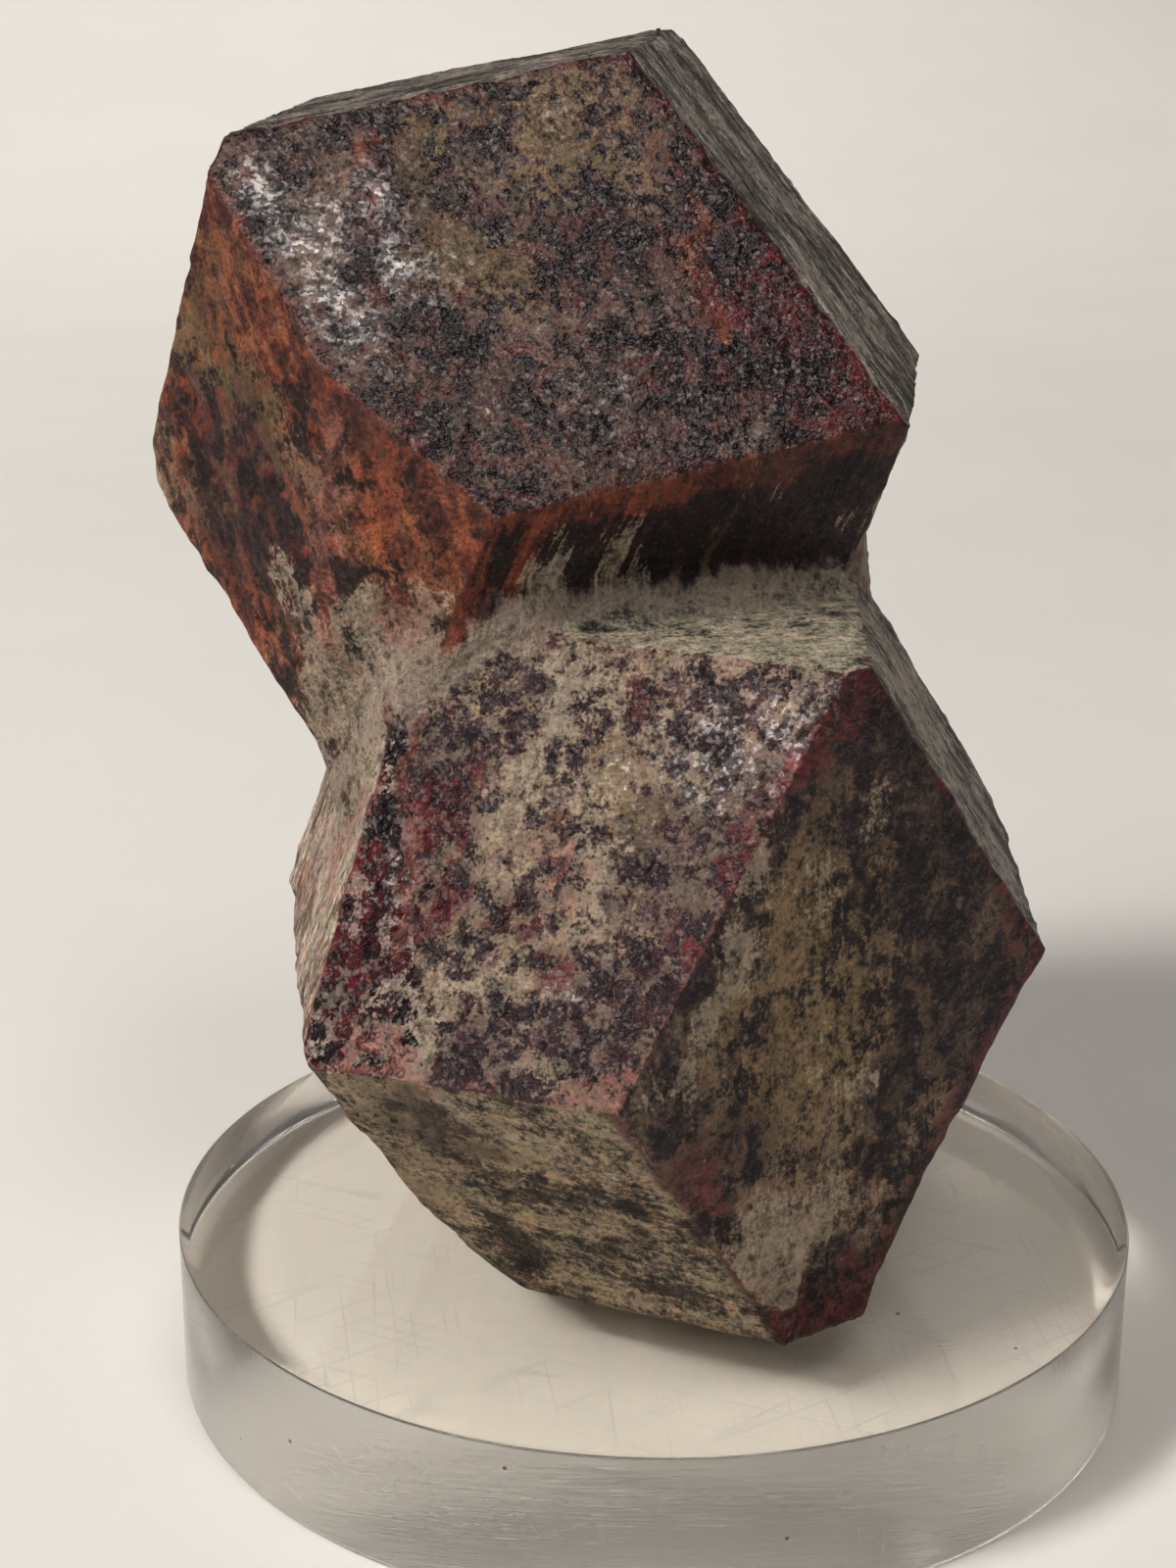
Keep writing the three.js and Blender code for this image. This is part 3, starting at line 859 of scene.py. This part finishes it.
def turned_disc(settings):
    """The disc, turned from sheet, with eased rims."""
    low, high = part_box(DISC_NODE)
    bpy.ops.object.select_all(action="DESELECT")
    bpy.ops.mesh.primitive_cylinder_add(
        vertices=DISC_SIDES, radius=disc_radius(), depth=high.z - low.z, end_fill_type="NGON",
        location=((low.x + high.x) / 2, (low.y + high.y) / 2, (low.z + high.z) / 2))
    disc = bpy.context.active_object
    disc.name = "acrylic_disc"
    bpy.ops.object.transform_apply(location=True, rotation=True, scale=True)
    bpy.ops.object.mode_set(mode="EDIT")
    select_edges(disc, lambda edge: abs(edge.verts[0].co.z - edge.verts[1].co.z) < 0.01 * MM)
    bpy.ops.mesh.bevel(offset=settings.rim_ease, segments=3, profile=0.5, affect="EDGES")
    bpy.ops.mesh.select_mode(type="FACE")
    bpy.ops.mesh.select_all(action="DESELECT")
    shape = bmesh.from_edit_mesh(disc.data)
    for flat in shape.faces:
        flat.select_set(abs(flat.normal.z) > 0.99)
    bmesh.update_edit_mesh(disc.data)
    bpy.ops.mesh.inset(thickness=FLAT_INSET)
    bpy.ops.object.mode_set(mode="OBJECT")
    bpy.ops.object.shade_smooth_by_angle(angle=math.radians(40))
    return disc


# ---------------------------------------------------------------------------------------------------
# Settings
# ---------------------------------------------------------------------------------------------------


def colour_setting(name, description, colour):
    return bpy.props.FloatVectorProperty(
        name=name, description=description, subtype="COLOR", size=4, min=0.0, max=1.0, default=colour)


def length_setting(name, description, length):
    return bpy.props.FloatProperty(
        name=name, description=description, unit="LENGTH", subtype="DISTANCE", min=0.0, default=length,
        precision=5)


def power_setting(name, description, power):
    return bpy.props.FloatProperty(
        name=name, description=description, unit="POWER", min=0.0, default=power)


class StoneSettings(bpy.types.PropertyGroup):
    """Sizes and mineral colours of the stone."""

    mesh_size: length_setting("Mesh size", "Width of the stone's mesh faces", 0.48 * MM)
    edge_wear: length_setting("Edge wear", "How far the crystal edges are worn back", 0.35 * MM)
    pit_depth: length_setting("Pit depth", "Depth of the deepest pits", 0.42 * MM)
    crust_reach: length_setting("Crust reach", "How far the crust spreads from the notch", 2.6 * MM)
    wander: length_setting("Wander", "How far the patches' outlines wander", 1.8 * MM)
    foot_reach: length_setting("Foot reach", "How far up the stone its foot is drawn down", 6 * MM)
    notch_rounding: bpy.props.IntProperty(
        name="Notch rounding", description="Passes that round the notch between the crystals", min=0,
        default=30)
    gold_colour: colour_setting("Gold", "Olive-gold mica patches", srgb(114, 92, 62))
    # The rust colour also paints the red glow along the upper crystal's front edges.
    rust_and_glow_colour: colour_setting("Rust", "Orange iron stain", srgb(132, 66, 40))
    stain_colour: colour_setting("Dark rust", "Dark red iron stain", srgb(86, 36, 30))
    dark_colour: colour_setting("Dark", "Bare purple-black garnet", srgb(36, 20, 27))
    ruby_colour: colour_setting("Ruby", "Glassy red garnet", srgb(80, 20, 27))
    pale_colour: colour_setting("Pale", "Grey-green chlorite patches", srgb(146, 132, 114))
    # The rose colour also paints the highlight along the upper front face's left edge.
    rose_and_highlight_colour: colour_setting("Rose", "Thin pink edges", srgb(128, 76, 68))
    mica_colour: colour_setting("Mica", "Bright mica flakes", srgb(172, 160, 154))
    crust_colour: colour_setting("Crust", "Chlorite crust in the notch", srgb(148, 132, 117))


class DiscSettings(bpy.types.PropertyGroup):
    """Sizes and colour of the disc."""

    rim_ease: length_setting("Rim ease", "How far the disc's rims are eased", 0.16 * MM)
    acrylic_colour: colour_setting("Acrylic", "Tint of the clear acrylic", srgb(254, 251, 246))
    dust_colour: colour_setting("Dust", "Pale dust in the scratches", srgb(250, 247, 242))
    wall_colour: colour_setting("Wall", "Haze on the disc's sawn wall", srgb(174, 166, 156))
    crumb_colour: colour_setting("Crumbs", "Brown crumbs of stone", srgb(96, 80, 64))


class StageSettings(bpy.types.PropertyGroup):
    """The floor, the camera and the lights."""

    floor_colour: colour_setting("Floor", "Paint of the floor and backdrop", srgb(247, 243, 236))
    lens: bpy.props.FloatProperty(name="Lens", description="Focal length on a 36 mm frame", unit="CAMERA",
                                  default=61.2, min=10.0)
    key_power: power_setting("Key light", "Power of the main light", 5.2)
    side_power: power_setting("Side light", "Power of the low front-left light", 0.9)
    top_power: power_setting("Top light", "Power of the high front-right light", 1.0)
    backdrop_power: power_setting("Backdrop light", "Power of the light over the backdrop", 1.9)
    glint_power: power_setting("Glint lights", "Power of each small light for glints", 2.5)
    sky: bpy.props.FloatProperty(name="Room light", description="Strength of the even light all round",
                                 default=0.13, min=0.0)


# ---------------------------------------------------------------------------------------------------
# Operators
# ---------------------------------------------------------------------------------------------------


class GARNET_OT_stone(bpy.types.Operator):
    """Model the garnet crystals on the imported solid"""

    bl_idname = "garnet.stone"
    bl_label = "Garnet crystals"

    def execute(self, context):
        settings = context.scene.garnet_stone
        stone, faces = rough_stone(settings)
        round_notch(stone, faces, settings)
        seat_on_disc(settings)
        write_grain_map(stone.data, faces)
        chart_stone(stone, faces, settings)
        carve_relief(stone, settings)
        bpy.ops.object.shade_smooth()
        finished(stone, stone_material(settings), STONE_NODE)
        return {"FINISHED"}


class GARNET_OT_disc(bpy.types.Operator):
    """Model the clear acrylic disc"""

    bl_idname = "garnet.disc"
    bl_label = "Display disc"

    def execute(self, context):
        settings = context.scene.garnet_disc
        disc = turned_disc(settings)
        finished(disc, disc_material(settings), DISC_NODE)
        return {"FINISHED"}


FLOOR_HALF = 1.6
BACKDROP_START = 1.2
BACKDROP_HEIGHT = 1.4
BACKDROP_BEND = 0.6
FLOOR_DROP = 0.1 * MM  # the floor is just clear of the disc
LIGHT_AIM = Vector((0.0, 0.0, 0.05))
WARM_WHITE = (1.0, 0.98, 0.955)
GLINT_WHITE = (1.0, 0.93, 0.88)
ROOM_WHITE = (1.0, 0.985, 0.96)
DISC_BOUNCES = 12  # light is turned back this many times inside the disc before it is lost
BRIGHTEST_PATH = 45.0  # the most light one path may bring, enough for what the disc gathers
BACKDROP_AIM = Vector((-0.2, 0.95, 0.0))
CAMERA_PLACE = (0.0, -0.1945, 0.1142)
CAMERA_TURN = (71.13, -0.12, 1.6)


def add_light(name, heading, rise, away, size, power, aim=LIGHT_AIM):
    """A square light that looks at a place from a heading and a rise, in degrees."""
    bpy.ops.object.light_add(type="AREA", location=aim + Vector(heading_vector(heading, rise)) * away)
    light = bpy.context.active_object
    light.name = name
    light.rotation_euler = (light.location - aim).to_track_quat("Z", "Y").to_euler()
    light.data.size = size
    light.data.energy = power
    light.data.color = WARM_WHITE
    return light


def add_soft_light(name, heading, rise, away, size, power, aim=LIGHT_AIM):
    """A broad light that no shiny surface mirrors."""
    light = add_light(name, heading, rise, away, size, power, aim)
    light.visible_glossy = False
    return light


def add_glint_light(name, heading, rise, away, size, power):
    """A small light that shows only where something shiny mirrors it."""
    light = add_light(name, heading, rise, away, size, power)
    light.data.color = GLINT_WHITE
    light.visible_diffuse = False
    light.visible_transmission = False


def at_backdrop(vert):
    return vert.co.y > BACKDROP_START - 0.01


def add_floor(settings):
    """A floor that sweeps up into a backdrop behind the stone."""
    bpy.ops.object.select_all(action="DESELECT")
    bpy.ops.mesh.primitive_plane_add(
        size=2 * FLOOR_HALF, location=(0, BACKDROP_START - FLOOR_HALF, -FLOOR_DROP))
    floor = bpy.context.active_object
    floor.name = "floor"
    bpy.ops.object.transform_apply(location=True, rotation=True, scale=True)
    bpy.ops.object.mode_set(mode="EDIT")
    select_edges(floor, lambda edge: all(at_backdrop(vert) for vert in edge.verts))
    bpy.ops.mesh.extrude_region_move(TRANSFORM_OT_translate={"value": (0, 0, BACKDROP_HEIGHT)})
    select_edges(floor, lambda edge: all(at_backdrop(vert) and vert.co.z < 0 for vert in edge.verts))
    bpy.ops.mesh.bevel(offset=BACKDROP_BEND, segments=24, profile=0.5, affect="EDGES")
    bpy.ops.object.mode_set(mode="OBJECT")
    bpy.ops.object.shade_smooth()
    shade = Shade("pale floor")
    cloudy = shade.noise(shade.millimetres(), 60.0, detail=3.0)
    tone = shade.brighten(settings.floor_colour, cloudy * 0.04 + 1.0)
    shader = shade.node("ShaderNodeBsdfPrincipled", None, {"Base Color": tone, "Roughness": 0.85})
    floor.data.materials.append(shade.finish(shader))


class GARNET_OT_stage(bpy.types.Operator):
    """Set up the floor, the camera and the lights"""

    bl_idname = "garnet.stage"
    bl_label = "Stage"

    def execute(self, context):
        settings = context.scene.garnet_stage
        add_floor(settings)
        add_soft_light("key light", heading=-150, rise=50, away=0.9, size=0.2, power=settings.key_power)
        add_soft_light("side light", heading=-138, rise=40, away=0.9, size=0.3, power=settings.side_power)
        add_soft_light("top light", heading=-62, rise=66, away=0.8, size=0.25, power=settings.top_power)
        backdrop_light = add_soft_light(
            "backdrop light", heading=90, rise=90, away=0.9, size=1.0, power=settings.backdrop_power,
            aim=BACKDROP_AIM)
        backdrop_light.visible_transmission = False
        backdrop_light.data.spread = math.radians(80)
        glint = settings.glint_power
        add_glint_light("left glint", heading=-134, rise=43, away=0.9, size=0.24, power=glint)
        add_glint_light("top glint", heading=-56, rise=66, away=0.9, size=0.24, power=glint)
        world = bpy.data.worlds.new("room")
        context.scene.world = world
        world.use_nodes = True
        background = world.node_tree.nodes["Background"]
        background.inputs["Color"].default_value = (*ROOM_WHITE, 1.0)
        background.inputs["Strength"].default_value = settings.sky
        world.cycles_visibility.glossy = False
        bpy.ops.object.camera_add(location=CAMERA_PLACE, rotation=[math.radians(a) for a in CAMERA_TURN])
        camera = context.active_object
        camera.data.lens = settings.lens
        camera.data.clip_start = 0.01
        context.scene.camera = camera
        context.scene.cycles.glossy_bounces = DISC_BOUNCES
        context.scene.cycles.sample_clamp_indirect = BRIGHTEST_PATH
        context.scene.cycles.blur_glossy = 0.0  # the disc casts its light and shade sharply
        context.scene.view_settings.view_transform = "Standard"
        return {"FINISHED"}


class GARNET_PT_panel(bpy.types.Panel):
    """The steps, in order"""

    bl_label = "Garnet crystal"
    bl_idname = "GARNET_PT_panel"
    bl_space_type = "VIEW_3D"
    bl_region_type = "UI"
    bl_category = "Garnet"

    def draw(self, context):
        for operator in STEPS:
            self.layout.operator(operator.bl_idname)
        scene = context.scene
        for settings in (scene.garnet_stone, scene.garnet_disc, scene.garnet_stage):
            for name in settings.__annotations__:
                self.layout.prop(settings, name)


STEPS = (GARNET_OT_stone, GARNET_OT_disc, GARNET_OT_stage)
CLASSES = (StoneSettings, DiscSettings, StageSettings, *STEPS, GARNET_PT_panel)


def register():
    for item in CLASSES:
        bpy.utils.register_class(item)
    bpy.types.Scene.garnet_stone = bpy.props.PointerProperty(type=StoneSettings)
    bpy.types.Scene.garnet_disc = bpy.props.PointerProperty(type=DiscSettings)
    bpy.types.Scene.garnet_stage = bpy.props.PointerProperty(type=StageSettings)


def unregister():
    del bpy.types.Scene.garnet_stage
    del bpy.types.Scene.garnet_disc
    del bpy.types.Scene.garnet_stone
    for item in reversed(CLASSES):
        bpy.utils.unregister_class(item)


def main():
    register()
    bpy.ops.garnet.stone()
    bpy.ops.garnet.disc()
    bpy.ops.garnet.stage()


if __name__ == "__main__":
    main()
